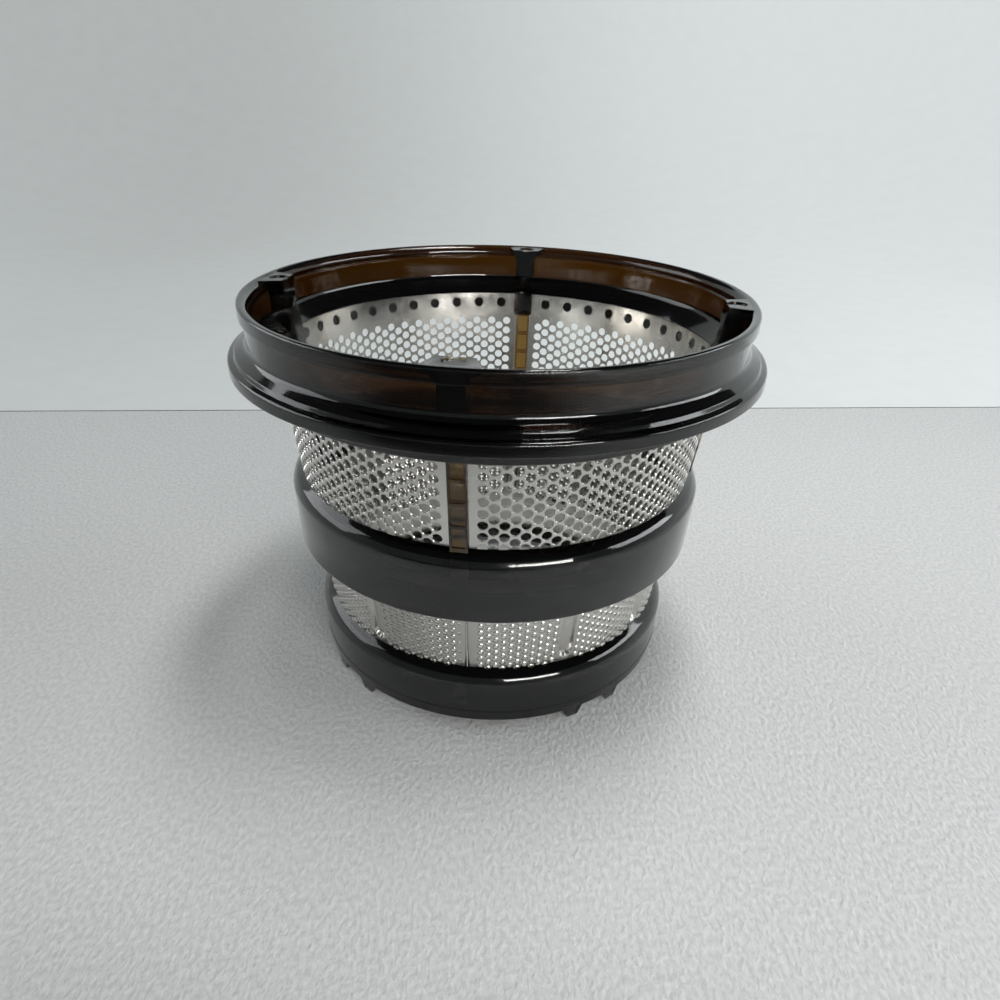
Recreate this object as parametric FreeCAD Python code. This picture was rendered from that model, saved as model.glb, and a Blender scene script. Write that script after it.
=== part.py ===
"""Mesh screen basket of a slow juicer.

A moulded frame (collar, seating flange, four ribs and posts, middle ring) holds four coarse
perforated steel screens. A fine perforated steel cone hangs below them and carries a moulded
bottom ring that stands on lugs. Z is up and the origin is on the axis at the tips of the lugs.
"""
import FreeCAD
import Part
import math
import os

Vec = FreeCAD.Vector

# Heights in millimetres, stacked from the tips of the lugs up to the rim
lug_height = 2.5
low_ring_height = 10.5         # upright band of the bottom ring
low_ring_bevel = 3.7           # from the band up to the steel
lower_window = 17.3            # bare fine screen
mid_ring_height = 13.2
mid_ring_bevel = 3.7
upper_window = 21.6            # bare coarse screens
skirt_height = 6.0             # collar outside the top margin of the screens
funnel_height = 4.0            # slope inside, from the screens out to the collar
collar_height = 5.5
bead_height = 3.1              # bead round the rim

# The steel: one cone for all the sheets
sheet = 0.4
taper = 7.7                    # half angle of the cone, degrees
cone_foot_radius = 40.9        # outside face, level with the bottom ring's foot
lower_overlap = 6.5            # fine screen inside the middle ring
edge_land = 3.5                # plastic between the fine and the coarse sheets

# Collar and flange
funnel_spread = 3.72           # collar wall beyond the inside of the steel
neck_wall = 2.0
bead_step = 1.0                # bead beyond the neck, outside
bead_set = 0.5                 # bead beyond the wall, inside
flange_reach = 4.2             # flange beyond the neck
flange_drop = 4.4              # flange underside above the skirt's lower edge
flange_edge = 2.6
flange_rise = 2.7              # its top slopes up to the neck
flange_bevel = 1.3
rim_bevel = 0.8
skirt_wall = 4.0

# Rings
mid_ring_wall = 3.15           # top of the band beyond the steel
mid_ring_lean = 0.8            # the band is this much narrower at its foot
low_ring_wall = 3.18
low_ring_lean = 0.5
ring_bevel = 0.9
foot_line = 2.9                # height of the fine step round the foot
foot_step = 0.3
floor_thickness = 3.0
floor_lip = 3.9                # floor inside the steel, round the opening

# Ribs inside the collar, their flared heads, and the posts between the coarse screens
rib_count = 4
rib_width = 5.0
rib_stand = 1.7                # rib face inside the steel
tab_height = 4.0
tab_drop = 0.2                 # flat top below the rim
tab_wide = 10.8                # at the collar
tab_narrow = 7.1               # at its inner edge
tab_setback = 0.2              # wings behind the rib's face
mark_radius = 2.2              # round mark in the flat top
mark_depth = 0.4
post_width = 3.9
post_proud = 1.0               # post beyond the outside of the steel
pane_count = 4                 # thin panes in each post, with bars between them
pane_width = 2.9
pane_depth = 0.4
pane_bar = 0.8
clear = 1.0                    # how far a cut runs out beyond a surface

# Openings of the screens: short upright slots at a wide pitch stand for the punched holes
coarse_columns = 8
coarse_rows = 3
coarse_width = 3.4
coarse_height = 4.4
coarse_margin = 6.5            # from the middle of a post to the first column
fine_columns = 3
fine_rows = 3
fine_width = 2.2
fine_height = 2.8
fine_margin = 5.4              # from the middle of a channel to the first column

# Fine screen: a seam at the front and pressed channels round the rest
bar_count = 12
channel_width = 2.4
channel_depth = 0.9
channel_end = 1.2              # plain steel between a channel and a ring
seam_gap = 0.3

# Lugs in pairs round the foot, on both sides of the front and of the back post
lug_turn = 42.0                # from a post to the middle of a pair, degrees
lug_spread = 7.6               # each side of the middle of a pair, degrees
lug_wide = 5.6
lug_narrow = 2.8
lug_depth = 2.6
lug_inset = 0.2                # outer face inside the foot of the ring

front = 270.0                  # direction of the front post and of the seam, degrees


# Levels
z_foot = lug_height
z_low_edge = z_foot + low_ring_height
z_low_top = z_low_edge + low_ring_bevel
z_mid_foot = z_low_top + lower_window
z_mid_edge = z_mid_foot + mid_ring_height
z_mid_top = z_mid_edge + mid_ring_bevel
z_skirt = z_mid_top + upper_window
z_funnel = z_skirt + skirt_height
z_wall = z_funnel + funnel_height
z_bead = z_wall + collar_height
z_top = z_bead + bead_height

z_fine_low = z_foot + floor_thickness
z_fine_top = z_mid_foot + lower_overlap
z_coarse_low = z_fine_top + edge_land
z_flange = z_skirt + flange_drop
z_flange_edge = z_flange + flange_edge
z_neck = z_flange_edge + flange_rise

slope = math.tan(math.radians(taper))
quarter = 360.0 / rib_count
sector_angle = 360.0 / bar_count
rib_angles = [front + quarter * i for i in range(rib_count)]
bar_angles = [front + sector_angle * i for i in range(bar_count)]


def outside(z):
    """Radius of the steel's outside face."""
    return cone_foot_radius + (z - z_foot) * slope


def inside(z):
    return outside(z) - sheet


wall_radius = inside(z_funnel) + funnel_spread
neck_radius = wall_radius + neck_wall
rim_radius = neck_radius + bead_step
rim_inner_radius = wall_radius + bead_set
flange_radius = neck_radius + flange_reach
mid_ring_radius = outside(z_mid_edge) + mid_ring_wall
low_ring_radius = outside(z_low_edge) + low_ring_wall
foot_radius = low_ring_radius - low_ring_lean
floor_bore = inside(z_fine_low) - floor_lip
lug_radius = foot_radius - foot_step - lug_inset
tab_root = wall_radius + neck_wall / 2
post_sweep = math.degrees(post_width / outside(z_skirt))


# Helpers
def bevelled_face(corners):
    """Face in the XZ plane from corners given as radius, height and length of bevel."""
    points = [Vec(r, 0, z) for r, z, _ in corners]
    line = []
    for i, corner in enumerate(corners):
        here = points[i]
        if corner[2] == 0:
            line.append(here)
            continue
        back = (points[i - 1] - here).normalize()
        ahead = (points[(i + 1) % len(points)] - here).normalize()
        line += [here + back * corner[2], here + ahead * corner[2]]
    return Part.Face(Part.makePolygon(line + line[:1]))


def turn(shape, angle):
    shape.rotate(Vec(0, 0, 0), Vec(0, 0, 1), angle)
    return shape


def turned(corners):
    """Solid that a profile sweeps about the axis."""
    return bevelled_face(corners).revolve(Vec(0, 0, 0), Vec(0, 0, 1), 360)


def sector(corners, middle, sweep):
    """Part of a turned solid, about its middle direction."""
    face = bevelled_face([(r, z, 0) for r, z in corners])
    return turn(face.revolve(Vec(0, 0, 0), Vec(0, 0, 1), sweep), middle - sweep / 2)


def degrees_of(width, radius):
    """Angle that a width takes at a radius."""
    return math.degrees(width / radius)


def sheet_profile(low, high):
    return [(outside(low), low), (outside(high), high), (inside(high), high), (inside(low), low)]


def punch(z, width, height, angle):
    """Radial punch through the steel."""
    near = outside(z) - width
    far = outside(z) + width
    low = z - height / 2
    high = z + height / 2
    return sector([(near, low), (far, low), (far, high), (near, high)], angle, degrees_of(width, outside(z)))


def punches(columns, rows, width, height, low, high, first, last):
    """Staggered rows of punches that fill a bare part of the steel."""
    pitch = (high - low) / (rows + 0.5)
    made = []
    for column in range(columns):
        angle = first + (last - first) * column / (columns - 1)
        for row in range(rows):
            made.append(punch(low + pitch * (row + 0.5 + 0.5 * (column % 2)), width, height, angle))
    return made


# Upper frame: one moulding
def collar():
    return turned([
        (outside(z_skirt), z_skirt, 0),
        (outside(z_funnel), z_funnel, 0),
        (inside(z_funnel), z_funnel, 0),
        (wall_radius, z_wall, 0),
        (rim_inner_radius, z_top, rim_bevel),
        (rim_radius, z_top, rim_bevel),
        (rim_radius, z_bead, 0),
        (neck_radius, z_bead - bead_step / 2, 0),
        (neck_radius, z_neck, flange_bevel),
        (flange_radius, z_flange_edge, rim_bevel),
        (flange_radius, z_flange, 0),
        (outside(z_flange) + skirt_wall, z_flange, 0),
        (outside(z_skirt) + skirt_wall, z_skirt, 0),
    ])


def middle_ring():
    return turned([
        (outside(z_mid_top), z_mid_top, 0),
        (outside(z_coarse_low), z_coarse_low, 0),
        (inside(z_coarse_low), z_coarse_low, 0),
        (inside(z_fine_top), z_fine_top, 0),
        (outside(z_fine_top), z_fine_top, 0),
        (outside(z_mid_foot), z_mid_foot, 0),
        (mid_ring_radius - mid_ring_lean, z_mid_foot, 0),
        (mid_ring_radius, z_mid_edge, ring_bevel),
    ])


def post(angle):
    """Post between two coarse screens, thinned to panes with bars between them."""
    low = z_coarse_low
    high = z_funnel
    body = sector([
        (outside(low) + post_proud, low),
        (outside(high) + post_proud, high),
        (inside(high), high),
        (inside(low), low),
    ], angle, post_sweep)
    pitch = upper_window / pane_count
    for i in range(pane_count):
        bottom = z_mid_top + pitch * i + pane_bar / 2
        top = bottom + pitch - pane_bar
        pane = sector([
            (outside(bottom) + post_proud - pane_depth, bottom),
            (outside(top) + post_proud - pane_depth, top),
            (outside(top) + post_proud + clear, top),
            (outside(bottom) + post_proud + clear, bottom),
        ], angle, post_sweep * pane_width / post_width)
        body = body.cut(pane)
    return body


def rib(angle):
    """Rib inside the collar, parallel to the steel, from the skirt up to the rim."""
    high = z_top - tab_drop
    return sector([
        (inside(z_skirt), z_skirt),
        (inside(z_skirt + rib_stand) - rib_stand, z_skirt + rib_stand),
        (inside(high) - rib_stand, high),
        (tab_root, high),
        (tab_root, z_wall),
        (inside(z_funnel), z_funnel),
    ], angle, degrees_of(rib_width, inside(z_skirt)))


def tab(angle):
    """Wings that flare from the head of a rib."""
    high = z_top - tab_drop

    def outline(z, inner_width, outer_width):
        near = inside(z) - rib_stand + tab_setback
        corners = [Vec(tab_root, -outer_width / 2, z), Vec(tab_root, outer_width / 2, z),
                   Vec(near, inner_width / 2, z), Vec(near, -inner_width / 2, z)]
        return Part.makePolygon(corners + corners[:1])

    hidden = rib_width - 2 * tab_setback
    lower = outline(high - tab_height, hidden, hidden)
    return turn(Part.makeLoft([lower, outline(high, tab_narrow, tab_wide)], True, True), angle)


def mark(angle):
    """Shallow round mark in the flat top of a tab."""
    high = z_top - tab_drop
    middle = (inside(high) - rib_stand + rim_inner_radius) / 2
    corners = []
    for i in range(12):
        way = math.radians(30 * i)
        corners.append(Vec(middle + mark_radius * math.cos(way), mark_radius * math.sin(way), high - mark_depth))
    return turn(Part.Face(Part.makePolygon(corners + corners[:1])).extrude(Vec(0, 0, 2 * mark_depth)), angle)


def upper_frame():
    pieces = [middle_ring()]
    for angle in rib_angles:
        pieces += [post(angle), rib(angle), tab(angle)]
    return collar().fuse(pieces).cut([mark(angle) for angle in rib_angles]).removeSplitter()


# Perforated steel
def coarse_screen(angle):
    """Screen between the post at this direction and the next one."""
    blank = sector(sheet_profile(z_coarse_low, z_funnel), angle + quarter / 2, quarter - post_sweep)
    margin = degrees_of(coarse_margin, inside(z_mid_top))
    return blank.cut(punches(coarse_columns, coarse_rows, coarse_width, coarse_height, z_mid_top, z_skirt,
                             angle + margin, angle + quarter - margin))


def channel(angle):
    """Steel that a pressed channel adds inside the cone, and the hollow it leaves outside."""
    low = z_low_top + channel_end
    high = z_mid_foot - channel_end
    ramp = 1.5 * channel_depth
    ridge = sector([
        (outside(low) - sheet / 2, low - sheet),
        (inside(low + ramp) - channel_depth, low + ramp),
        (inside(high - ramp) - channel_depth, high - ramp),
        (outside(high) - sheet / 2, high + sheet),
    ], angle, degrees_of(channel_width + 2 * sheet, outside(low)))
    hollow = sector([
        (outside(low), low),
        (outside(low + ramp) - channel_depth, low + ramp),
        (outside(high - ramp) - channel_depth, high - ramp),
        (outside(high), high),
        (outside(high) + clear, high),
        (outside(low) + clear, low),
    ], angle, degrees_of(channel_width, outside(low)))
    return ridge, hollow


def lower_screen():
    gap = degrees_of(seam_gap, inside(z_fine_low))
    body = sector(sheet_profile(z_fine_low, z_fine_top), front + 180, 360 - gap)
    pairs = [channel(angle) for angle in bar_angles[1:]]
    cuts = [hollow for _, hollow in pairs]
    margin = degrees_of(fine_margin, inside(z_low_top))
    for angle in bar_angles:
        cuts += punches(fine_columns, fine_rows, fine_width, fine_height, z_low_top, z_mid_foot,
                        angle + margin, angle + sector_angle - margin)
    return body.fuse([ridge for ridge, _ in pairs]).cut(cuts)


# Bottom ring
def lug(angle):
    near = lug_radius - lug_depth
    root = z_foot + floor_thickness / 2
    sides = [(lug_narrow / 2, 0), (lug_wide / 2, z_foot), (lug_wide / 2, root)]
    points = [Vec(near, side, z) for side, z in sides]
    points += [Vec(near, -side, z) for side, z in reversed(sides)]
    face = Part.Face(Part.makePolygon(points + points[:1]))
    return turn(face.extrude(Vec(lug_depth, 0, 0)), angle)


def bottom_ring():
    body = turned([
        (outside(z_low_top), z_low_top, 0),
        (outside(z_fine_low), z_fine_low, 0),
        (floor_bore, z_fine_low, 0),
        (floor_bore, z_foot, 0),
        (foot_radius - foot_step, z_foot, 0),
        (foot_radius - foot_step, z_foot + foot_line, 0),
        (foot_radius, z_foot + foot_line, 0),
        (low_ring_radius, z_low_edge, ring_bevel),
    ])
    lugs = []
    for middle in (front, front + 180):
        for turned_by in (lug_turn - lug_spread, lug_turn + lug_spread):
            lugs += [lug(middle - turned_by), lug(middle + turned_by)]
    return body.fuse(lugs).removeSplitter()


def save(shape, node):
    shape.exportStep("parts/" + node + ".step")
    print(node, len(shape.Solids), "solid,", round(shape.Volume / 1000, 2), "cm3")


os.makedirs("parts", exist_ok=True)
save(upper_frame(), "upper_frame")
places = ["front_right", "back_right", "back_left", "front_left"]
for place, angle in zip(places, rib_angles):
    save(coarse_screen(angle), "upper_screen_" + place)
save(lower_screen(), "lower_screen")
save(bottom_ring(), "bottom_ring")
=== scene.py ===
# %% [markdown]
# # A juicer mesh screen
# This is the strainer basket of a slow juicer: clear brown plastic moulded round thin steel screens.
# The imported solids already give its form, so this lesson only gives it its look. The plastic is turned
# again with finer roundings, the steel gets its real perforation, and then come materials, light and a
# camera. Sizes are written in millimetres, as on a drawing, and become metres when a mesh is made.

# %% Load the frame
import math
import bmesh
import bpy
from mathutils import Matrix, Vector, geometry


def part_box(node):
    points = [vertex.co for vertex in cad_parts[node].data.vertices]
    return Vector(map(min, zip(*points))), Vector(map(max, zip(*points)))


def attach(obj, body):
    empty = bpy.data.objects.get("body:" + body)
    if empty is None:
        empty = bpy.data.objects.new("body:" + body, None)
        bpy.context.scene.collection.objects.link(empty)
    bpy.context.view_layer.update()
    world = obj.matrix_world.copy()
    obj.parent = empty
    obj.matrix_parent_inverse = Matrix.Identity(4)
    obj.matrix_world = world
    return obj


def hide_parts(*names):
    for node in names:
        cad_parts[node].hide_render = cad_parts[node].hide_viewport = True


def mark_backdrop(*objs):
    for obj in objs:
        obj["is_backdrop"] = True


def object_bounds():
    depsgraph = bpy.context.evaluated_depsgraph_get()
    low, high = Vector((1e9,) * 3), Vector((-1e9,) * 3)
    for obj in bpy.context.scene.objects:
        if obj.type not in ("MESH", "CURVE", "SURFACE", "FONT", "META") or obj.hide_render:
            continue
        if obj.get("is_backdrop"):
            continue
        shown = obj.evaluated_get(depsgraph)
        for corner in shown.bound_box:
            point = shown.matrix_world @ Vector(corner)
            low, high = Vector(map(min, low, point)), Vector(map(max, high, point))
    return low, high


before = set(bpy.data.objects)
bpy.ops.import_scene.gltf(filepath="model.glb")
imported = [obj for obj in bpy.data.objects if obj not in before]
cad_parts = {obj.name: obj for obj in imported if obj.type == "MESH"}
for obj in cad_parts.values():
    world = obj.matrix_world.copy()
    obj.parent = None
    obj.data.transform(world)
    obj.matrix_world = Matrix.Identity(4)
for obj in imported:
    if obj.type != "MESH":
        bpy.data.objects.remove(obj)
cad_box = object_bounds()
MM = 0.001
print("nodes:", ", ".join(sorted(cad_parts)))

# %% [markdown]
# ## Levels and the steel cone
# On the real basket all the steel lies on one cone, and the plastic grips it at three heights. Each
# piece could have its own numbers, but then they would slowly drift apart. So every height is named
# once, counted up from the tips of the lugs, and the radius of the steel follows from the height. Four
# posts stand a quarter turn apart, the first one at the front. SEAT is a hair of room between steel
# and plastic, so that no two faces lie in each other.

# %% Levels
Z_FOOT, Z_LOW_EDGE, Z_LOW_TOP = 2.5, 13.0, 16.7
Z_MID_FOOT, Z_MID_EDGE, Z_MID_TOP = 34.0, 47.2, 50.9
Z_SKIRT, Z_FLANGE, Z_FUNNEL = 72.5, 76.9, 78.5
Z_WALL, Z_BEAD, Z_TOP = 82.5, 88.0, 91.1
Z_FINE_LOW, Z_FINE_TOP, Z_COARSE_LOW = 5.5, 40.5, 44.0
FOOT_RADIUS = 40.9
SLOPE = math.tan(math.radians(7.7))
SHEET = 0.4
SEAT = 0.03
FRONT = -90.0
POSTS = [FRONT + 90.0 * i for i in range(4)]


def outside(z):
    """Radius of the steel's outer face."""
    return FOOT_RADIUS + (z - Z_FOOT) * SLOPE


def inside(z):
    """Radius of the steel's inner face."""
    return outside(z) - SHEET


top_of_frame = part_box("upper_frame")[1][2] / MM
print("rim of the solids at", round(top_of_frame, 2), "mm, here at", Z_TOP)

# %% [markdown]
# ## Rounded profiles
# A moulded part has no sharp corners: the mould maker rounds each one differently, and these small
# roundings catch the light. A bevel modifier would give all of them one size. Here a profile is a list
# of corners, each with its own rounding as a third value, and an arc is put into every corner.

# %% Rounded profiles
def rounded(corners, steps=6):
    """Outline in radius and height, with each corner rounded by its third value."""
    points = [Vector(c[:2]) for c in corners]
    line = []
    for i, here in enumerate(points):
        radius = corners[i][2]
        if radius == 0:
            line.append(here)
            continue
        back = (points[i - 1] - here).normalized()
        ahead = (points[(i + 1) % len(points)] - here).normalized()
        half = back.angle(ahead) / 2
        centre = here + (back + ahead).normalized() * radius / math.sin(half)
        first = here + back * radius / math.tan(half) - centre
        last = here + ahead * radius / math.tan(half) - centre
        sweep = first.angle_signed(last)
        for k in range(steps + 1):
            line.append(centre + Matrix.Rotation(-sweep * k / steps, 2) @ first)
    return line


print("a rounded square has", len(rounded([(0, 0, 1), (0, 4, 1), (4, 4, 1), (4, 0, 1)])), "points")

# %% [markdown]
# ## Turned rings
# The collar and both rings are round, as if turned on a lathe. Blender's screw modifier could sweep a
# profile, but then it would have to be drawn as an object of its own first. A short function does the
# same from the list of points, with an even number of steps round, and it serves the backdrop as well.

# %% Turned rings
def make(name, verts, faces, tidy=True):
    """Object from vertices in millimetres."""
    mesh = bpy.data.meshes.new(name)
    mesh.from_pydata([Vector(v) * MM for v in verts], [], faces)
    if tidy:
        bm = bmesh.new()
        bm.from_mesh(mesh)
        bmesh.ops.recalc_face_normals(bm, faces=bm.faces)
        bm.to_mesh(mesh)
        bm.free()
    piece = bpy.data.objects.new(name, mesh)
    bpy.context.scene.collection.objects.link(piece)
    return piece


def turned(line, segments, closed=True):
    """Points and faces of a line of radii and heights swept round the axis."""
    verts, faces = [], []
    n = len(line)
    for k in range(segments):
        a = math.tau * k / segments
        verts += [(r * math.cos(a), r * math.sin(a), z) for r, z in line]
        here, then = k * n, (k + 1) % segments * n
        for i in range(n if closed else n - 1):
            ahead = (i + 1) % n
            faces.append((here + i, here + ahead, then + ahead, then + i))
    return verts, faces


def lathe(name, corners, segments=288):
    piece = make(name, *turned(rounded(corners), segments))
    print(name, "turned with", len(piece.data.polygons), "faces")
    return piece


# %% [markdown]
# ## Collar and middle ring
# The collar carries the rim bead on top, the seating flange outside, the skirt that grips the steel and
# the funnel inside. On the real basket it is one turned form, so it is one profile here, read from
# the skirt up the inside, over the rim and down the outside. The middle ring is a second one. Its
# shoulder bulges, because a bulge draws a light as a thin line, and a flat bevel as a broad band.

# %% Collar
NECK, WALL_IN, RIM, RIM_IN, FLANGE = 56.5, 54.5, 57.5, 55.0, 60.7
NECK_FOOT, FLANGE_TOP = 82.0, 79.5
STEP_IN, STEP_OUT, STEP_HIGH, STEP_LOW = 59.0, 59.4, 80.7, 79.9
SKIRT_WALL = 4.0

collar = lathe("moulded_frame", [
    (outside(Z_SKIRT) + SEAT, Z_SKIRT, 0.15),
    (outside(Z_FUNNEL) + SEAT, Z_FUNNEL + SEAT, 0),
    (inside(Z_FUNNEL), Z_FUNNEL + SEAT, 0.1),
    (WALL_IN, Z_WALL, 2.5),
    (WALL_IN + 0.2, Z_BEAD + 0.1, 0.3),
    (RIM_IN, Z_BEAD + 0.5, 0.2),
    (RIM_IN, Z_TOP, 1.9),
    (RIM, Z_TOP, 0.55),
    (RIM, Z_BEAD, 0.45),
    (NECK, Z_BEAD - 0.1, 0.2),
    (NECK, NECK_FOOT, 1.8),
    (STEP_IN, STEP_HIGH, 0.4),
    (STEP_OUT, STEP_LOW, 0.25),
    (FLANGE, FLANGE_TOP, 0.7),
    (FLANGE, Z_FLANGE, 0.25),
    (outside(Z_FLANGE) + SKIRT_WALL, Z_FLANGE, 0.5),
    (outside(Z_SKIRT) + SKIRT_WALL, Z_SKIRT, 0.5),
])

# %% Middle ring
MID_FOOT, MID_EDGE, MID_SHOULDER = 49.3, 50.1, 49.15
SHOULDER_LOW, SHOULDER_HIGH = 0.7, 2.5

middle = lathe("middle", [
    (outside(Z_MID_TOP) + SEAT, Z_MID_TOP, 0),
    (outside(Z_COARSE_LOW) + SEAT, Z_COARSE_LOW - SEAT, 0),
    (inside(Z_COARSE_LOW), Z_COARSE_LOW - SEAT, 0),
    (inside(Z_FINE_TOP), Z_FINE_TOP + SEAT, 0),
    (outside(Z_FINE_TOP) + SEAT, Z_FINE_TOP + SEAT, 0),
    (outside(Z_MID_FOOT) + SEAT, Z_MID_FOOT, 0.15),
    (MID_FOOT, Z_MID_FOOT, 0.5),
    (MID_EDGE, Z_MID_EDGE + SHOULDER_LOW, 2.6),
    (MID_SHOULDER, Z_MID_EDGE + SHOULDER_HIGH, 4.0),
])

# %% [markdown]
# ## Bars
# Posts, ribs, tabs, lugs and plugs are straight pieces set round the axis. Scaled cubes could stand for
# them, but most of them lean with the cone or change their width. So each one is a block: the closed
# space between two outlines with as many points, turned to its direction. Blocks of one kind are
# gathered in one object, and their edges are softened together.

# %% Bars
def block(low, high, angle):
    """Closed solid between two outlines with as many points, turned to its direction."""
    n = len(low)
    c, s = math.cos(math.radians(angle)), math.sin(math.radians(angle))
    verts = [(x * c - y * s, x * s + y * c, z) for x, y, z in list(low) + list(high)]
    faces = [tuple(range(n))[::-1], tuple(range(n, 2 * n))]
    faces += [(i, (i + 1) % n, n + (i + 1) % n, n + i) for i in range(n)]
    return verts, faces


def prism(corners, width, angle):
    """Flat outline in radius and height, given a width."""
    sides = [[(r, side * width / 2, z) for r, z in corners] for side in (-1, 1)]
    return block(*sides, angle)


def gather(name, blocks, soften=0.0):
    """One object from separate blocks, with their edges softened."""
    verts, faces = [], []
    for points, sides in blocks:
        faces += [tuple(i + len(verts) for i in side) for side in sides]
        verts += points
    piece = make(name, verts, faces)
    if soften:
        bm = bmesh.new()
        bm.from_mesh(piece.data)
        bmesh.ops.bevel(bm, geom=bm.edges[:], offset=soften * MM, segments=3, profile=0.5, affect="EDGES")
        bm.to_mesh(piece.data)
        bm.free()
    print(name, "gathered from", len(blocks))
    return piece


# %% [markdown]
# ## Posts
# Four posts run up between the coarse screens and tie the middle ring to the skirt. Each is thinned
# outside into four panes, and there the plastic lets so much light through that it looks amber. The
# panes could be painted on, but real depth shows from every side, so small blocks are cut out.

# %% Posts and panes
POST_WIDE, POST_STAND, POST_ROOT = 3.86, 1.0, 1.0
PANE_WIDE, PANE_STAND, PANE_GAP, PANE_OVER = 2.9, 0.6, 0.4, 2.0
PANES_EACH = 4


def post(angle):
    low, high = Z_COARSE_LOW - POST_ROOT, Z_FUNNEL + POST_ROOT
    corners = [(outside(low) + POST_STAND, low), (outside(high) + POST_STAND, high)]
    corners += [(inside(high), high), (inside(low), low)]
    return prism(corners, POST_WIDE, angle)


def pane(angle, number):
    pitch = (Z_SKIRT - Z_MID_TOP) / PANES_EACH
    low = Z_MID_TOP + pitch * number + PANE_GAP
    high = low + pitch - 2 * PANE_GAP
    corners = [(outside(low) + PANE_STAND, low), (outside(high) + PANE_STAND, high)]
    corners += [(outside(high) + PANE_OVER, high), (outside(low) + PANE_OVER, low)]
    return prism(corners, PANE_WIDE, angle)


posts = gather("posts", [post(a) for a in POSTS], soften=0.12)
panes = gather("panes", [pane(a, i) for a in POSTS for i in range(PANES_EACH)], soften=0.15)

# %% [markdown]
# ## Ribs
# Behind each post a rib climbs the inside of the collar, from the foot of the skirt up to a tab. It is
# a bent strip, so one outline with a width is enough. It runs a little into the wall and into the tab,
# because two faces that only touch would not be joined, and it stands a hair off the steel behind it.

# %% Ribs
RIB_WIDE, RIB_STAND, RIB_GAP = 5.0, 1.7, 0.08
RIB_INTO_TAB, RIB_INTO_WALL = 0.5, 1.0
RIB_BACK, RIB_BACK_RISE, RIB_OVER_STEEL = 1.5, 0.6, 0.1
TAB_LOW, TAB_TOP = 86.9, 90.9


def rib(angle):
    top = TAB_LOW + RIB_INTO_TAB
    in_wall = WALL_IN + RIB_INTO_WALL
    return prism([
        (inside(Z_SKIRT) - SEAT - RIB_GAP, Z_SKIRT),
        (inside(Z_SKIRT) - RIB_STAND, Z_SKIRT + RIB_STAND),
        (inside(top) - RIB_STAND, top),
        (in_wall, top),
        (in_wall, Z_WALL),
        (inside(Z_FUNNEL) + RIB_BACK, Z_FUNNEL + RIB_BACK_RISE),
        (inside(Z_FUNNEL) - SEAT - RIB_GAP, Z_FUNNEL + RIB_OVER_STEEL),
    ], RIB_WIDE, angle)


ribs = gather("ribs", [rib(a) for a in POSTS], soften=0.3)

# %% [markdown]
# ## Tabs
# Each rib ends in a flat tab with a shallow round mark, of the kind that an ejector pin leaves. The tab
# is arched underneath, so its wings thin out towards the sides, and it widens towards the wall. One
# outline with a width can't widen, so the tab is a block between a narrow outline and a wide one.

# %% Tabs and marks
TAB_PROUD, TAB_ROOT = 0.05, 55.9
TAB_HALF_IN, TAB_HALF_OUT, TAB_STEM = 3.55, 5.4, 2.4
ARCH_STEPS, ARCH_RISE, ARCH_DROP = 8, 3.3, 0.6
MARK_RADIUS, MARK_SIDES, MARK_DEEP, MARK_OVER = 2.2, 48, 0.35, 1.0


def tab_outline(half):
    """Head with an arch under each wing, as places across and up."""
    side = [(half, TAB_TOP)]
    for k in range(ARCH_STEPS + 1):
        way = math.radians(90 + 90 * k / ARCH_STEPS)
        across = half + (half - TAB_STEM) * math.cos(way)
        side.append((across, TAB_LOW - ARCH_DROP + ARCH_RISE * math.sin(way)))
    return side + [(-y, z) for y, z in reversed(side)]


def tab(angle):
    near = [(inside(z) - RIB_STAND - TAB_PROUD, y, z) for y, z in tab_outline(TAB_HALF_IN)]
    far = [(TAB_ROOT, y, z) for y, z in tab_outline(TAB_HALF_OUT)]
    return block(near, far, angle)


def circle(radius, sides):
    turns = [math.tau * k / sides for k in range(sides)]
    return [(radius * math.cos(a), radius * math.sin(a)) for a in turns]


def mark(angle):
    centre = (inside(TAB_TOP) - RIB_STAND + RIM_IN) / 2
    around = circle(MARK_RADIUS, MARK_SIDES)
    levels = (TAB_TOP - MARK_DEEP, TAB_TOP + MARK_OVER)
    return block(*[[(centre + a, b, z) for a, b in around] for z in levels], angle)


tabs = gather("tabs", [tab(a) for a in POSTS])
marks = gather("marks", [mark(a) for a in POSTS])

# %% [markdown]
# ## Anchor plugs
# Along their top edge the coarse screens have a row of holes, and when the collar is moulded the plastic
# flows into them and locks the steel. From inside they show as a row of dark dots. A dark texture would
# look flat, so each one is a short cylinder that grows out of the skirt and fills its hole.

# %% Anchor plugs
ANCHOR_Z, ANCHORS_EACH = 76.0, 11
ANCHORS = [90.0 * k / (ANCHORS_EACH + 1) for k in range(1, ANCHORS_EACH + 1)]
PLUG_RADIUS, PLUG_SIDES, PLUG_SHORT, PLUG_ROOT = 1.31, 32, 0.05, 0.6


def plug(angle):
    around = circle(PLUG_RADIUS, PLUG_SIDES)
    ends = (inside(ANCHOR_Z) + PLUG_SHORT, outside(ANCHOR_Z) + PLUG_ROOT)
    return block(*[[(r, a, ANCHOR_Z + b) for a, b in around] for r in ends], angle)


plugs = gather("plugs", [plug(post_at + a) for post_at in POSTS for a in ANCHORS])

# %% [markdown]
# ## One moulding
# A moulding is one lump of plastic, without inner walls. Pieces that merely overlap look joined from
# afar, but clear plastic shows every hidden face, so they are united with boolean modifiers. The
# manifold solver is quick and keeps closed meshes closed. Panes and marks are cut out at the end, and
# smooth shading stops at real edges.

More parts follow.
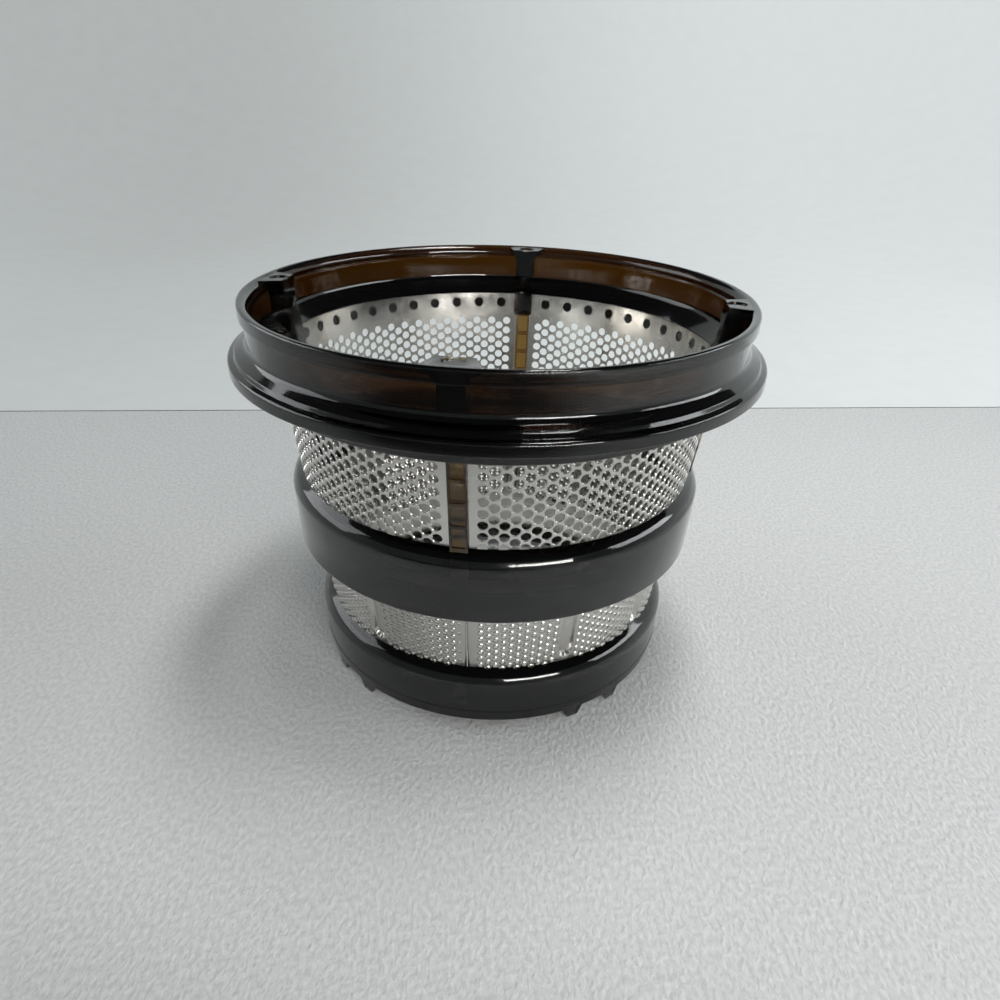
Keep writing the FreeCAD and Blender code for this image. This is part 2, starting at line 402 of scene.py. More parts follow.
# %% One moulding
def combine(base, steps):
    """Joins and cuts closed meshes into one."""
    for operation, tool in steps:
        step = base.modifiers.new(tool.name, "BOOLEAN")
        step.operation = operation
        step.solver = "MANIFOLD"
        step.object = tool
    evaluated = base.evaluated_get(bpy.context.evaluated_depsgraph_get())
    made = bpy.data.meshes.new_from_object(evaluated)
    base.modifiers.clear()
    base.data = made
    for _, tool in steps:
        bpy.data.objects.remove(tool)


def shade(piece, angle=32.0):
    """Smooth shading that stops at edges sharper than the angle."""
    piece.data.shade_smooth()
    piece.data.set_sharp_from_angle(angle=math.radians(angle))
    print(piece.name, len(piece.data.polygons), "faces")


combine(collar, [
    ("UNION", middle),
    ("UNION", posts),
    ("UNION", ribs),
    ("UNION", tabs),
    ("UNION", plugs),
    ("DIFFERENCE", panes),
    ("DIFFERENCE", marks),
])
shade(collar)

# %% [markdown]
# ## Bottom ring
# The lowest ring holds the foot of the fine screen. It has a lip round an open floor, a fine parting
# line round its foot, and pairs of tapered lugs on both sides of the front and of the back post. The
# ring is turned like the others. A lug narrows downwards, so it is a block between a narrow outline and
# a wide one, and it starts a little inside the ring so that the union has no gap.

# %% Turned bottom ring
FLOOR_OPENING = 37.0
LOW_FOOT, LOW_EDGE, LOW_SHOULDER = 44.7, 45.5, 44.55
PARTING_FOOT, PARTING_OUT, PARTING_IN = 44.75, 45.15, 45.0
PARTING_LOW, PARTING_PEAK, PARTING_HIGH = 2.75, 2.85, 3.15

ring = lathe("bottom_ring_look", [
    (outside(Z_LOW_TOP) + SEAT, Z_LOW_TOP, 0),
    (outside(Z_FINE_LOW) + SEAT, Z_FINE_LOW - SEAT, 0),
    (FLOOR_OPENING, Z_FINE_LOW - SEAT, 0.3),
    (FLOOR_OPENING, Z_FOOT, 0.3),
    (LOW_FOOT, Z_FOOT, 0.4),
    (PARTING_FOOT, Z_FOOT + PARTING_LOW, 0),
    (PARTING_OUT, Z_FOOT + PARTING_PEAK, 0.06),
    (PARTING_IN, Z_FOOT + PARTING_HIGH, 0.05),
    (LOW_EDGE, Z_LOW_EDGE + SHOULDER_LOW, 2.6),
    (LOW_SHOULDER, Z_LOW_EDGE + SHOULDER_HIGH, 4.0),
])

# %% Lugs
LUG_IN, LUG_OUT, LUG_TIP, LUG_ROOT, LUG_SINK = 41.95, 44.55, 2.8, 6.0, 0.6
LUG_TURNS = (-49.6, -34.4, 34.4, 49.6)


def lug(angle):
    ends = []
    for z, wide in ((0.0, LUG_TIP), (Z_FOOT + LUG_SINK, LUG_ROOT)):
        half = wide / 2
        ends.append([(LUG_IN, -half, z), (LUG_OUT, -half, z), (LUG_OUT, half, z), (LUG_IN, half, z)])
    return block(*ends, angle)


lugs = [lug(post_at + turn) for post_at in (FRONT, FRONT + 180) for turn in LUG_TURNS]
combine(ring, [("UNION", gather("lugs", lugs, soften=0.25))])
shade(ring)

# %% [markdown]
# ## Perforated steel
# A press punches the holes while the sheet is flat, and the sheet is rolled afterwards. Booleans with a
# thousand cutters would be slow and leave poor faces, and a picture with transparency would have no
# edges. So we work as the press does: the sheet is laid out flat, with the angle along one way and
# the height along the other, triangles fill it round every hole, and then it is wrapped onto the cone.
# Each hole gets a wall of a few rings, so a punched edge or a raised hole has a real shape.

# %% Flat sheets
WIDE_HOLE, WIDE_SIDES, FINE_SIDES = 0.9, 22, 12
SAME_POINT = 1e-7


def perforated(outline, holes, extra):
    """Flat sheet filled with triangles. A hole is (u, z, squeeze, rings), a ring (radius, depth)."""
    flat = [Vector(p) for p in outline]
    edges = [(i, (i + 1) % len(outline)) for i in range(len(outline))]
    owner = [-1] * len(outline)
    sides = []
    for number, (u, z, squeeze, rings) in enumerate(holes):
        radius = rings[0][0]
        count = WIDE_SIDES if radius > WIDE_HOLE else FINE_SIDES
        sides.append(count)
        start = len(flat)
        for k in range(count):
            a = math.tau * k / count
            flat.append(Vector((u + radius * math.cos(a) * squeeze, z + radius * math.sin(a))))
            edges.append((start + k, start + (k + 1) % count))
        owner += [number] * count
    owner += [-1] * len(extra)
    flat += [Vector(p) for p in extra]
    points, _, triangles, sources, _, _ = geometry.delaunay_2d_cdt(flat, edges, [], 1, SAME_POINT)
    where = {}
    held = [-1] * len(points)
    for i, given in enumerate(sources):
        for g in given:
            where[g] = i
            held[i] = max(held[i], owner[g])
    kept = []
    for t in triangles:
        if held[t[0]] == held[t[1]] == held[t[2]] != -1:
            continue
        a, b, c = (points[i] for i in t)
        kept.append(tuple(t) if (b - a).cross(c - a) > 0 else tuple(reversed(t)))
    print(len(holes), "holes in a flat sheet of", len(kept), "triangles")
    return {"points": points, "held": held, "kept": kept, "where": where,
            "outline": len(outline), "holes": holes, "sides": sides}


# %% Wrapping
def wrapped(sheet, place):
    """Vertices and faces of a flat sheet put on the cone by place(u, z, depth)."""
    holes, held = sheet["holes"], sheet["held"]

    def at(point, owner, level):
        if owner < 0:
            return place(point.x, point.y, SHEET if level else 0.0)
        u, z, _, rings = holes[owner]
        radius, depth = rings[level]
        grow = radius / rings[0][0]
        return place(u + (point.x - u) * grow, z + (point.y - z) * grow, depth)

    n = len(sheet["points"])
    verts = [at(p, o, 0) for p, o in zip(sheet["points"], held)]
    verts += [at(p, o, -1) for p, o in zip(sheet["points"], held)]
    faces = list(sheet["kept"]) + [(n + c, n + b, n + a) for a, b, c in sheet["kept"]]
    where = sheet["where"]
    rim = [where[i] for i in range(sheet["outline"])]
    for a, b in zip(rim, rim[1:] + rim[:1]):
        faces.append((a, n + a, n + b, b))
    start = sheet["outline"]
    for number, count in enumerate(sheet["sides"]):
        loop = [where[start + k] for k in range(count)]
        start += count
        rows = [loop]
        for level in range(1, len(holes[number][3]) - 1):
            rows.append(list(range(len(verts), len(verts) + count)))
            verts += [at(sheet["points"][i], number, level) for i in loop]
        rows.append([n + i for i in loop])
        for upper, lower in zip(rows, rows[1:]):
            for k in range(count):
                m = (k + 1) % count
                faces.append((upper[k], upper[m], lower[m], lower[k]))
    return verts, faces


# %% Even places
def span(first, last, step):
    """Even places from the first up to, but not with, the last."""
    count = max(2, round(abs(last - first) / step))
    return [first + (last - first) * k / count for k in range(count)]


print("places over 10 mm, about 2.5 apart:", span(0, 10, 2.5))

# %% [markdown]
# ## Coarse screens
# Four quarters of perforated sheet let the coarse pulp through. Each has staggered columns of punched
# holes, whose edges are eased on both faces, and the row of anchor holes, which narrow a little towards
# the inside. Each quarter could be laid out on its own, but all four are alike, so one flat layout
# serves them all and is wrapped at four directions.

# %% Outline of a quarter
R_FLAT = 49.0
HALF_POST, EDGE_STEP = 1.97, 1.2


def edge_u(z, side):
    """Flat place of a screen's upright edge, parallel to its post."""
    a = math.asin(HALF_POST / outside(z))
    return R_FLAT * (a if side < 0 else math.pi / 2 - a)


low, high = Z_COARSE_LOW, Z_FUNNEL
outline = [(u, low) for u in span(edge_u(low, -1), edge_u(low, 1), EDGE_STEP)]
outline += [(edge_u(z, 1), z) for z in span(low, high, EDGE_STEP)]
outline += [(u, high) for u in span(edge_u(high, 1), edge_u(high, -1), EDGE_STEP)]
outline += [(edge_u(z, -1), z) for z in span(high, low, EDGE_STEP)]
print(len(outline), "points round a quarter")

# %% Holes of a quarter
PUNCHED = [(1.12, 0.0), (1.05, 0.07), (1.05, 0.33), (1.10, 0.40)]
ANCHOR = [(1.46, 0.0), (1.45, 0.05), (1.38, 0.36), (1.34, 0.40)]
COLUMNS, FIRST_COLUMN, COLUMN_SPREAD = 32, 5.5, 79.0
FIRST_HOLE, HOLE_PITCH, HOLES_UP = 51.1, 2.8, 8
FILL_INSET, FILL_STEP, FILL_LEVELS = 3.2, 1.6, (45.6, 47.2, 48.6, 73.2)
STRIP_INSET, STRIP_LOW, STRIP_HIGH, STRIP_STEP = 3.1, 50.2, 72.0, 1.5

holes = []
for column in range(COLUMNS):
    angle = math.radians(FIRST_COLUMN + COLUMN_SPREAD * column / (COLUMNS - 1))
    odd = column % 2
    for row in range(HOLES_UP - odd):
        z = FIRST_HOLE + HOLE_PITCH * (row + odd / 2)
        holes.append((R_FLAT * angle, z, R_FLAT / outside(z), PUNCHED))
for a in ANCHORS:
    holes.append((R_FLAT * math.radians(a), ANCHOR_Z, R_FLAT / outside(ANCHOR_Z), ANCHOR))
quarter = R_FLAT * math.pi / 2
strips = (STRIP_INSET, quarter - STRIP_INSET)
extra = [(u, z) for u in span(FILL_INSET, quarter - FILL_INSET, FILL_STEP) for z in FILL_LEVELS]
extra += [(u, z) for u in strips for z in span(STRIP_LOW, STRIP_HIGH, STRIP_STEP)]
flat_quarter = perforated(outline, holes, extra)


# %% Four quarters
def on_quarter(post_at):
    """Puts the flat quarter on the cone, starting at a post."""
    start = math.radians(post_at)

    def on_cone(u, z, depth):
        a, r = start + u / R_FLAT, outside(z) - depth
        return (r * math.cos(a), r * math.sin(a), z)
    return on_cone


coarse = []
for post_at, place_name in zip(POSTS, ("front_right", "back_right", "back_left", "front_left")):
    screen = make("coarse_" + place_name, *wrapped(flat_quarter, on_quarter(post_at)), tidy=False)
    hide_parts("upper_screen_" + place_name)
    coarse.append(screen)
    shade(screen, angle=40.0)

# %% [markdown]
# ## Fine screen
# The lower screen is one rolled sheet: twelve panels of small raised holes, with pressed channels
# between them and a seam at the front, where both edges are bent in. One layout for the whole cone
# would be slow to fill, so a panel is filled once and wrapped for every place. A panel runs from one
# channel's middle to the next, so the panels meet on plain steel and can be welded there. The panel
# left of the seam also has a column of small holes, so it gets a layout of its own. The lowest row
# stands up through the thin edge of the bottom ring.

# %% Pressed channels
R_FINE, PANELS = 43.5, 12
PANEL = math.tau / PANELS * R_FINE
CHANNEL_LOW, CHANNEL_HIGH, CHANNEL_HALF = 19.6, 30.8, 1.65
CHANNEL_SLOPE, CHANNEL_DEEP = 0.5, 0.9


def press(u, z, channels):
    """How deep the channels at a panel's two edges are pressed in."""
    deep = 0.0
    for along in channels:
        s = abs(u - along) * outside(z) / R_FINE
        d = math.hypot(s, max(0.0, CHANNEL_LOW - z, z - CHANNEL_HIGH))
        t = min(1.0, max(0.0, (CHANNEL_HALF - d) / CHANNEL_SLOPE))
        deep = max(deep, CHANNEL_DEEP * t * t * (3 - 2 * t))
    return deep


print("a channel is", press(0.0, CHANNEL_LOW, [0.0]), "mm deep")

# %% Layout of a panel
RAISED = [(0.78, 0.0), (0.64, -0.13), (0.46, -0.22), (0.36, -0.17), (0.78, 0.40)]
SMALL = [(0.42, 0.0), (0.38, 0.06), (0.38, 0.34), (0.38, 0.40)]
FINE_COLUMNS, FINE_ROWS, FINE_ACROSS, FINE_UP, FINE_FIRST = 11, 9, 1.67, 2.0, 17.5
SEAM_HOLES, SEAM_INSET, SEAM_FIRST, SEAM_UP, SEAM_ROOM = 6, 1.55, 18.4, 2.8, 0.6
RIM_STEP, SIDE_STEP = 0.8, 0.55
SLOPE_LOW, SLOPE_HIGH, SLOPE_STEP = 15.8, 34.6, 0.5
SLOPE_PLACES = (0.3, 0.6, 0.85, 1.05, 1.25, 1.45, 1.65, 1.9, 2.15)
PLAIN_INSET, PLAIN_STEP, PLAIN_LEVELS = 1.2, 1.6, (7.5, 10.0, 12.5, 36.6, 38.6)


def fine_panel(by_seam):
    """Flat panel, with points close together on the slopes of the channels."""
    low, high = Z_FINE_LOW, Z_FINE_TOP
    outline = [(u, low) for u in span(0, PANEL, RIM_STEP)]
    outline += [(PANEL, z) for z in span(low, high, SIDE_STEP)]
    outline += [(u, high) for u in span(PANEL, 0, RIM_STEP)]
    outline += [(0, z) for z in span(high, low, SIDE_STEP)]
    holes = []
    for column in range(FINE_COLUMNS):
        u = PANEL / 2 + (column - FINE_COLUMNS // 2) * FINE_ACROSS
        for row in range(FINE_ROWS):
            z = FINE_FIRST - column % 2 + FINE_UP * row
            holes.append((u, z, R_FINE / outside(z), RAISED))
    seam_heights = [SEAM_FIRST + SEAM_UP * row for row in range(SEAM_HOLES)] if by_seam else []
    holes += [(PANEL - SEAM_INSET, z, R_FINE / outside(z), SMALL) for z in seam_heights]
    extra = []
    for z in span(SLOPE_LOW, SLOPE_HIGH, SLOPE_STEP):
        for s in SLOPE_PLACES:
            extra.append((s, z))
            if all(math.hypot(SEAM_INSET - s, z - h) >= SEAM_ROOM for h in seam_heights):
                extra.append((PANEL - s, z))
    extra += [(u, z) for u in span(PLAIN_INSET, PANEL - PLAIN_INSET, PLAIN_STEP) for z in PLAIN_LEVELS]
    return perforated(outline, holes, extra)


plain, beside_seam = fine_panel(False), fine_panel(True)

# %% Twelve panels
SEAM_TURN, SEAM_GAP, SEAM_BEND = 1.0, 0.08, 0.5
AT_EDGE = 1e-6


def on_panel(k):
    """Puts a flat panel on the cone, counted from the seam."""
    channels = [u for u, bar in ((0.0, k), (PANEL, k + 1)) if bar % PANELS]
    start = math.radians(FRONT + SEAM_TURN + 360.0 / PANELS * k)

    def on_cone(u, z, depth):
        if k == 0 and u < AT_EDGE:
            u += SEAM_GAP
        if k == PANELS - 1 and u > PANEL - AT_EDGE:
            u -= SEAM_GAP
        edge = u if k == 0 else PANEL - u if k == PANELS - 1 else PANEL
        bend = SEAM_BEND * max(0.0, 1 - edge / SEAM_BEND)
        a, r = start + u / R_FINE, outside(z) - depth - press(u, z, channels) - bend
        return (r * math.cos(a), r * math.sin(a), z)
    return on_cone


verts, faces = [], []
for k in range(PANELS):
    more, sides = wrapped(beside_seam if k == PANELS - 1 else plain, on_panel(k))
    faces += [tuple(i + len(verts) for i in side) for side in sides]
    verts += more
fine = make("fine_screen", verts, faces, tidy=False)
print(PANELS, "panels with", len(verts), "points")

# %% Weld the panels
WELD = 0.002


def inner_wall(face):
    """A wall left between two panels, where more than one edge has too many faces."""
    return len(face.verts) == 4 and sum(len(e.link_faces) > 2 for e in face.edges) > 1


bm = bmesh.new()
bm.from_mesh(fine.data)
bmesh.ops.remove_doubles(bm, verts=bm.verts, dist=WELD * MM)
bmesh.ops.delete(bm, geom=[f for f in bm.faces if inner_wall(f)], context="FACES_ONLY")
print("open edges after welding:", sum(e.is_boundary for e in bm.edges))
bm.to_mesh(fine.data)
bm.free()
shade(fine, angle=40.0)
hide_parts("lower_screen")

# %% [markdown]
# ## A shared unevenness
# No finish is the same all over: moulding, rolling and handling leave soft clouds in gloss and tone.
# Each material could have its own noise nodes, but the same few would be drawn again and again. So
# they are one node group, built once. It gives the bare height, a colour between two colours and a
# number between two numbers, and each material places it with its own values.

# %% Node groups
def node_group(name, inputs, outputs):
    """Empty group with named sockets, and the sockets of its two ends."""
    group = bpy.data.node_groups.new(name, "ShaderNodeTree")
    for way, sockets in (("INPUT", inputs), ("OUTPUT", outputs)):
        for title, kind in sockets.items():
            group.interface.new_socket(title, in_out=way, socket_type="NodeSocket" + kind)
    given = group.nodes.new("NodeGroupInput")
    result = group.nodes.new("NodeGroupOutput")
    print("group", name, "takes", ", ".join(inputs), "and gives", ", ".join(outputs))
    return group, given.outputs, result.inputs


def placed(tree, group, values):
    """Places a group in a material, with its values set or linked, and gives its outputs."""
    node = tree.nodes.new("ShaderNodeGroup")
    node.node_tree = group
    for title, value in values.items():
        if isinstance(value, bpy.types.NodeSocket):
            tree.links.new(value, node.inputs[title])
        else:
            node.inputs[title].default_value = value
    return node.outputs


def colour_mix(tree, factor, first, last):
    """Links a factor and two colours into a Mix node and gives its colour."""
    mix = tree.nodes.new("ShaderNodeMix")
    mix.data_type = "RGBA"
    for source, socket in ((factor, 0), (first, 6), (last, 7)):
        tree.links.new(source, mix.inputs[socket])
    return mix.outputs[2]


# %% Cloud group
NOISE_RANGE = (0.35, 0.65)
cloud_inputs = {"Scale": "Float", "Detail": "Float", "Stretch": "Vector", "Dark": "Color",
                "Light": "Color", "Least": "Float", "Most": "Float"}
cloud_outputs = {"Height": "Float", "Colour": "Color", "Value": "Float"}
cloud, given, result = node_group("cloud", cloud_inputs, cloud_outputs)
where = cloud.nodes.new("ShaderNodeTexCoord")
stretch = cloud.nodes.new("ShaderNodeMapping")
noise = cloud.nodes.new("ShaderNodeTexNoise")
cloud.links.new(where.outputs["Object"], stretch.inputs["Vector"])
cloud.links.new(given["Stretch"], stretch.inputs["Scale"])
cloud.links.new(stretch.outputs["Vector"], noise.inputs["Vector"])
cloud.links.new(given["Scale"], noise.inputs["Scale"])
cloud.links.new(given["Detail"], noise.inputs["Detail"])
cloud.links.new(noise.outputs["Fac"], result["Height"])
share = cloud.nodes.new("ShaderNodeMapRange")
number = cloud.nodes.new("ShaderNodeMapRange")
for ramp in (share, number):
    ramp.inputs["From Min"].default_value, ramp.inputs["From Max"].default_value = NOISE_RANGE
    cloud.links.new(noise.outputs["Fac"], ramp.inputs["Value"])
cloud.links.new(given["Least"], number.inputs["To Min"])
cloud.links.new(given["Most"], number.inputs["To Max"])
cloud.links.new(number.outputs["Result"], result["Value"])
tinted = colour_mix(cloud, share.outputs["Result"], given["Dark"], given["Light"])
cloud.links.new(tinted, result["Colour"])

# %% [markdown]
# ## Brown plastic
# The plastic is clear and brown: thick parts look black and thin panes amber. A brown base colour would
# tint every surface alike, however thick it is. So the surface stays nearly clear, and a volume
# takes light out along the way, most of it blue. The inside of a moulding is slightly cloudy while its
# skin is glossy, so the shader itself is a little rough and a thin clear coat lies on top.

# %% Brown plastic
def material(name):
    made = bpy.data.materials.new(name)
    made.use_nodes = True
    return made, made.node_tree, made.node_tree.nodes["Principled BSDF"].inputs


plastic, tree, shader = material("brown_plastic")
shader["Base Color"].default_value = (1.0, 0.97, 0.93, 1)
shader["Transmission Weight"].default_value = 1.0
shader["IOR"].default_value = 1.5
shader["Specular IOR Level"].default_value = 0.05
shader["Coat Weight"].default_value = 0.35
shader["Coat Roughness"].default_value = 0.02
shader["Coat IOR"].default_value = 1.45
haze = placed(tree, cloud, {"Scale": 90.0, "Detail": 4.0, "Stretch": (1, 1, 1),
                            "Least": 0.06, "Most": 0.12})
tree.links.new(haze["Value"], shader["Roughness"])
taken = tree.nodes.new("ShaderNodeVolumeAbsorption")
taken.inputs["Color"].default_value = (0.57, 0.42, 0.0, 1)
taken.inputs["Density"].default_value = 3500.0
tree.links.new(taken.outputs["Volume"], tree.nodes["Material Output"].inputs["Volume"])
print(plastic.name, "with", len(tree.nodes), "nodes")

# %% [markdown]
# ## Satin steel
# The sheet is stainless steel with a satin finish from rolling, and it is handled, so it has faint
# smears. One grey metal with one roughness would look too clean. Here one cloud varies the tone of the
# reflection, a second one how sharp it is, and a fine upright grain bends it slightly.

# %% Satin steel
def bump(tree, shader, height, strength, distance):
    node = tree.nodes.new("ShaderNodeBump")
    node.inputs["Strength"].default_value = strength
    node.inputs["Distance"].default_value = distance
    tree.links.new(height, node.inputs["Height"])
    tree.links.new(node.outputs["Normal"], shader["Normal"])


steel, tree, shader = material("satin_steel")
shader["Metallic"].default_value = 1.0
smear = placed(tree, cloud, {"Scale": 45.0, "Detail": 5.0, "Stretch": (1, 1, 0.4),
                             "Dark": (0.53, 0.515, 0.48, 1), "Light": (0.66, 0.65, 0.62, 1)})
satin = placed(tree, cloud, {"Scale": 160.0, "Detail": 5.0, "Stretch": (1, 1, 1),
                             "Least": 0.16, "Most": 0.28})
grain = placed(tree, cloud, {"Scale": 700.0, "Detail": 4.0, "Stretch": (1, 1, 0.15)})
tree.links.new(smear["Colour"], shader["Base Color"])
tree.links.new(satin["Value"], shader["Roughness"])
bump(tree, shader, grain["Height"], strength=0.05, distance=0.0002)
print(steel.name, "with", len(tree.nodes), "nodes")

# %% [markdown]
# ## Dress the pieces
# On the real basket nothing moves against anything else. The pieces could be joined into one object, but
# then plastic and steel could not be told apart later. So every piece stays on its own, takes its
# material, rides on the one body and stands in for the solid of the same place.

# %% Dress the pieces
for piece, look in ((collar, plastic), (ring, plastic), (fine, steel), *((c, steel) for c in coarse)):
    piece.data.materials.clear()
    piece.data.materials.append(look)
    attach(piece, "root")
    print(piece.name, "in", look.name)
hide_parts("upper_frame")
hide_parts("bottom_ring")

# %% [markdown]
# ## Felt
# The basket stands on pale felt, with fine fibres that catch the light. Hair particles could make them,
# but at this size a fine noise in colour and height is enough. Glossy plastic mirrors the floor in front
# of it, so a soft patch of painted shade there keeps the front of the collar deep and brown. The felt and
# the paper behind it both need a soft change between two colours, so that is a second node group.

# %% Fade group
fade_inputs = {"Place": "Float", "Near": "Float", "Far": "Float",
               "Near Colour": "Color", "Far Colour": "Color"}
fade, given, result = node_group("fade", fade_inputs, {"Colour": "Color"})
ramp = fade.nodes.new("ShaderNodeMapRange")
ramp.interpolation_type = "SMOOTHSTEP"
for title, socket in (("Place", "Value"), ("Near", "From Min"), ("Far", "From Max")):
    fade.links.new(given[title], ramp.inputs[socket])
tinted = colour_mix(fade, ramp.outputs["Result"], given["Near Colour"], given["Far Colour"])
fade.links.new(tinted, result["Colour"])

# %% Felt
felt, tree, shader = material("pale_felt")
fibre = placed(tree, cloud, {"Scale": 1000.0, "Detail": 9.0, "Stretch": (1, 0.7, 1),
                             "Dark": (0.66, 0.675, 0.67, 1), "Light": (0.79, 0.805, 0.80, 1)})
# Painted shade: a soft dark patch on the felt in front of the basket, darkest at its middle.
where = tree.nodes.new("ShaderNodeTexCoord")
painted_shade_patch = tree.nodes.new("ShaderNodeMapping")
painted_shade_patch.vector_type = "TEXTURE"
painted_shade_patch.inputs["Location"].default_value = (-0.13, -0.36, 0.0)
painted_shade_patch.inputs["Scale"].default_value = (0.40, 0.30, 1.0)
away = tree.nodes.new("ShaderNodeVectorMath")
away.operation = "LENGTH"
tree.links.new(where.outputs["Object"], painted_shade_patch.inputs["Vector"])
tree.links.new(painted_shade_patch.outputs["Vector"], away.inputs[0])
shaded = placed(tree, fade, {"Place": away.outputs["Value"], "Near": 0.5, "Far": 1.0,
                             "Near Colour": (0.06, 0.06, 0.06, 1), "Far Colour": fibre["Colour"]})
tree.links.new(shaded["Colour"], shader["Base Color"])
shader["Roughness"].default_value = 0.95
bump(tree, shader, fibre["Height"], strength=0.7, distance=0.0006)
print(felt.name, "with", len(tree.nodes), "nodes")

# %% [markdown]
# ## Paper
# Behind the felt the ground is smooth pale paper. Lamps could light it evenly, but they would light the
# basket too. So the paper glows a little by itself, more at the right than at the left, and least in
# front, where the basket would mirror it.

# %% Paper
pale_paper, tree, shader = material("pale_paper")
tone = placed(tree, cloud, {"Scale": 60.0, "Detail": 4.0, "Stretch": (1, 1, 1),
                            "Dark": (0.285, 0.30, 0.305, 1), "Light": (0.305, 0.32, 0.325, 1)})
tree.links.new(tone["Colour"], shader["Base Color"])
shader["Roughness"].default_value = 0.9
where = tree.nodes.new("ShaderNodeTexCoord")
split = tree.nodes.new("ShaderNodeSeparateXYZ")
tree.links.new(where.outputs["Object"], split.inputs["Vector"])
across = placed(tree, fade, {"Place": split.outputs["X"], "Near": -0.3, "Far": 0.4,
                             "Near Colour": (0.30, 0.315, 0.31, 1), "Far Colour": (0.54, 0.57, 0.565, 1)})
glow = placed(tree, fade, {"Place": split.outputs["Y"], "Near": -0.5, "Far": 0.2,
                           "Near Colour": (0.08, 0.084, 0.084, 1), "Far Colour": across["Colour"]})
tree.links.new(glow["Colour"], shader["Emission Color"])
shader["Emission Strength"].default_value = 1.0
print(pale_paper.name, "with", len(tree.nodes), "nodes")

# %% [markdown]
# ## Floor and backdrop
# The felt ends in a straight edge behind the basket, and the paper goes on from there. An upright wall
# would be the usual backdrop, but from behind it would hide the basket. So the paper lies flat and
# rises only far away, all round, like a bowl. It is a turned line, like the rings, but an open one.

# %% Floor and backdrop
FELT_EDGE, PAPER_GAP, STAGE_HALF = 156.5, 0.8, 700.0
BOWL_FOOT, BOWL_BEND, BOWL_TOP, BOWL_SINK, BOWL_STEPS = 600.0, 350.0, 560.0, 1.0, 12
STAGE_TURN = math.radians(12.65)


def level_sheet(near, far):
    """Flat sheet between two distances along the view."""
    left, right = -STAGE_HALF, STAGE_HALF
    return [(left, near, 0), (right, near, 0), (right, far, 0), (left, far, 0)], [(0, 1, 2, 3)]


bowl = []
for k in range(BOWL_STEPS + 1):
    a = math.radians(90.0 * k / BOWL_STEPS)
    bowl.append((BOWL_FOOT + BOWL_BEND * math.sin(a), BOWL_BEND - BOWL_BEND * math.cos(a) - BOWL_SINK))
bowl.append((BOWL_FOOT + BOWL_BEND, BOWL_TOP))
floor = make("floor", *level_sheet(-STAGE_HALF, FELT_EDGE))
behind = level_sheet(FELT_EDGE + PAPER_GAP, STAGE_HALF)
paper = gather("backdrop", [behind, turned(bowl, segments=96, closed=False)])
paper.data.shade_smooth()
for surface, finish in ((floor, felt), (paper, pale_paper)):
    surface.rotation_euler.z = STAGE_TURN
    surface.data.materials.append(finish)
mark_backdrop(floor, paper)
print("felt ends", FELT_EDGE, "mm behind the axis, the paper rises from", BOWL_FOOT)

# %% [markdown]
# ## Light
# The light is that of a plain bright room: a long low key light from the front right, which draws the
# thin highlights along the rims, two wide windows at the sides, which fill the steel, and a weak light
# above. One sun lamp would be simpler, but its shadow is hard and its highlights are mere dots. Area
# lights give soft shadows, and their size is the size of the highlights.

# %% Light
world = bpy.data.worlds.new("room")
world.use_nodes = True
room = world.node_tree.nodes["Background"].inputs
room["Color"].default_value = (0.86, 0.9, 0.95, 1)
room["Strength"].default_value = 0.05
bpy.context.scene.world = world


def area(name, place, target, size, power, colour=(1, 1, 1), beam=180.0):
    data = bpy.data.lights.new(name, "AREA")
    data.shape = "RECTANGLE"
    data.size, data.size_y = size[0] * MM, size[1] * MM
    data.energy = power
    data.color = colour
    data.spread = math.radians(beam)
    lamp = bpy.data.objects.new(name, data)
    lamp.location = Vector(place) * MM
    lamp.visible_camera = False
    lamp.rotation_mode = "QUATERNION"
    lamp.rotation_quaternion = (Vector(target) * MM - lamp.location).to_track_quat("-Z", "Y")
    bpy.context.scene.collection.objects.link(lamp)
    print(name, power, "W")


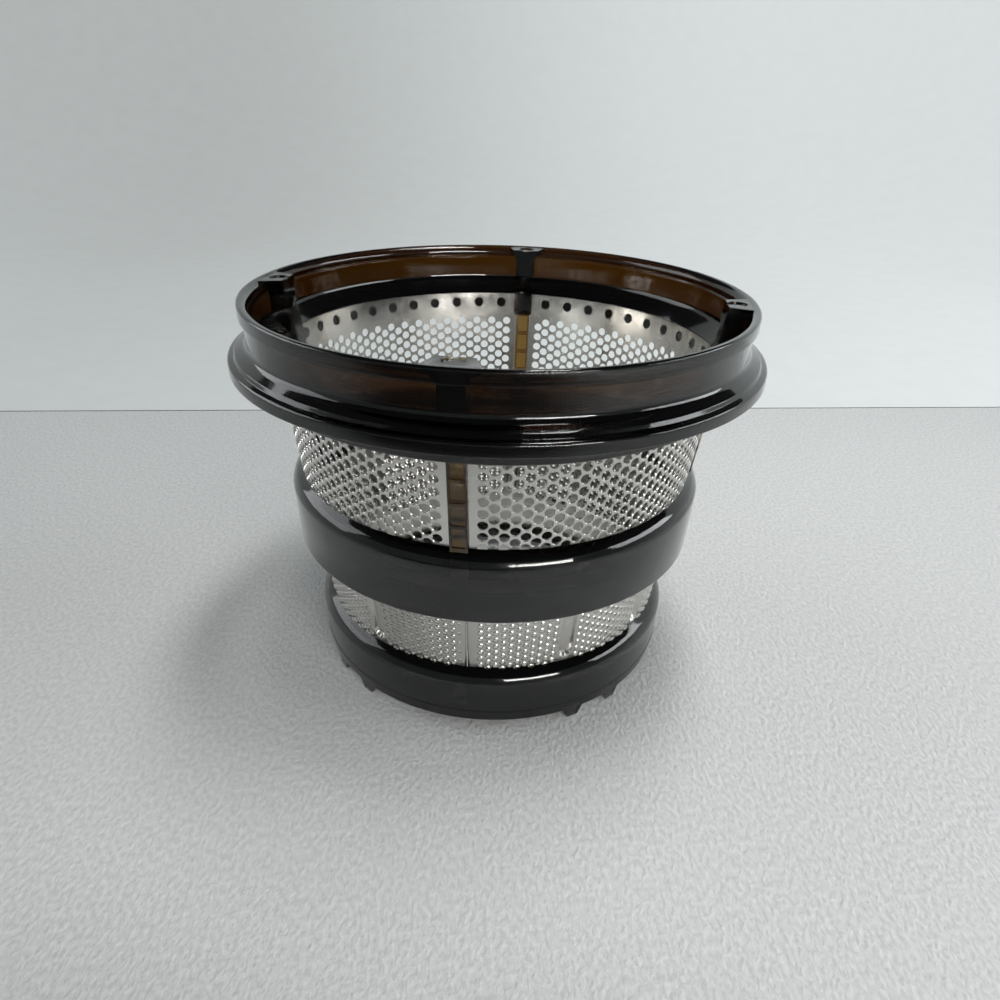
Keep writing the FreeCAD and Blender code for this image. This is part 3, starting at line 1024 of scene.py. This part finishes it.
MIDDLE = (0, 0, 45)
WARM, COOL = (1.0, 0.98, 0.95), (0.95, 0.98, 1.0)
area("key", (353, -565, 250), MIDDLE, (380, 100), 2.4, WARM)
area("right_window", (720, 60, 360), MIDDLE, (600, 200), 1.8, COOL)
area("left_window", (-700, 40, 380), MIDDLE, (600, 420), 1.45, COOL)
area("overhead", (120, 95, 700), (80, 90, 0), (320, 120), 0.5, beam=90.0)

# %% [markdown]
# ## Camera
# The photograph is taken from close by, a little above the rim and a little to the right of the front
# post, with a wide lens, so the rim looks much larger than the foot. A tracking constraint could aim the
# camera, but a hand-held one is also turned and rolled a little. So its three axes are worked out
# from the angles, and the matrix is set directly.

# %% Camera
CAMERA_TURN, PITCH, ROLL, YAW = (math.radians(a) for a in (8.1, 28.35, 1.4, 0.41))
CAMERA_AWAY, CAMERA_HIGH = 173.5, 130.1
forward = Vector((-math.sin(CAMERA_TURN), math.cos(CAMERA_TURN), 0))
right = Vector((math.cos(CAMERA_TURN), math.sin(CAMERA_TURN), 0))
up = Vector((0, 0, 1))
view = forward * math.cos(PITCH) - up * math.sin(PITCH)
top = forward * math.sin(PITCH) + up * math.cos(PITCH)
view, right = (view * math.cos(YAW) + right * math.sin(YAW),
               right * math.cos(YAW) - view * math.sin(YAW))
right, top = (right * math.cos(ROLL) + top * math.sin(ROLL),
              top * math.cos(ROLL) - right * math.sin(ROLL))
lens = bpy.data.cameras.new("camera")
lens.sensor_width = 36.0
lens.lens = 27.04
lens.clip_start, lens.clip_end = 0.005, 10.0
camera = bpy.data.objects.new("camera", lens)
camera.matrix_world = Matrix((right, top, -view)).transposed().to_4x4()
camera.location = (-forward * CAMERA_AWAY + up * CAMERA_HIGH) * MM
bpy.context.scene.collection.objects.link(camera)
bpy.context.scene.camera = camera
bpy.context.scene.view_settings.view_transform = "Standard"
print("camera", CAMERA_AWAY, "mm from the axis and", CAMERA_HIGH, "mm up")

# %% [markdown]
# ## Finish
# The box of the finished look is kept beside the box of the solids, so that anyone can see how closely
# they agree.

# %% Finish
look_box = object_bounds()
for title, box in (("solids", cad_box), ("look", look_box)):
    print(title, [round(v / MM, 2) for v in box[1] - box[0]], "mm")
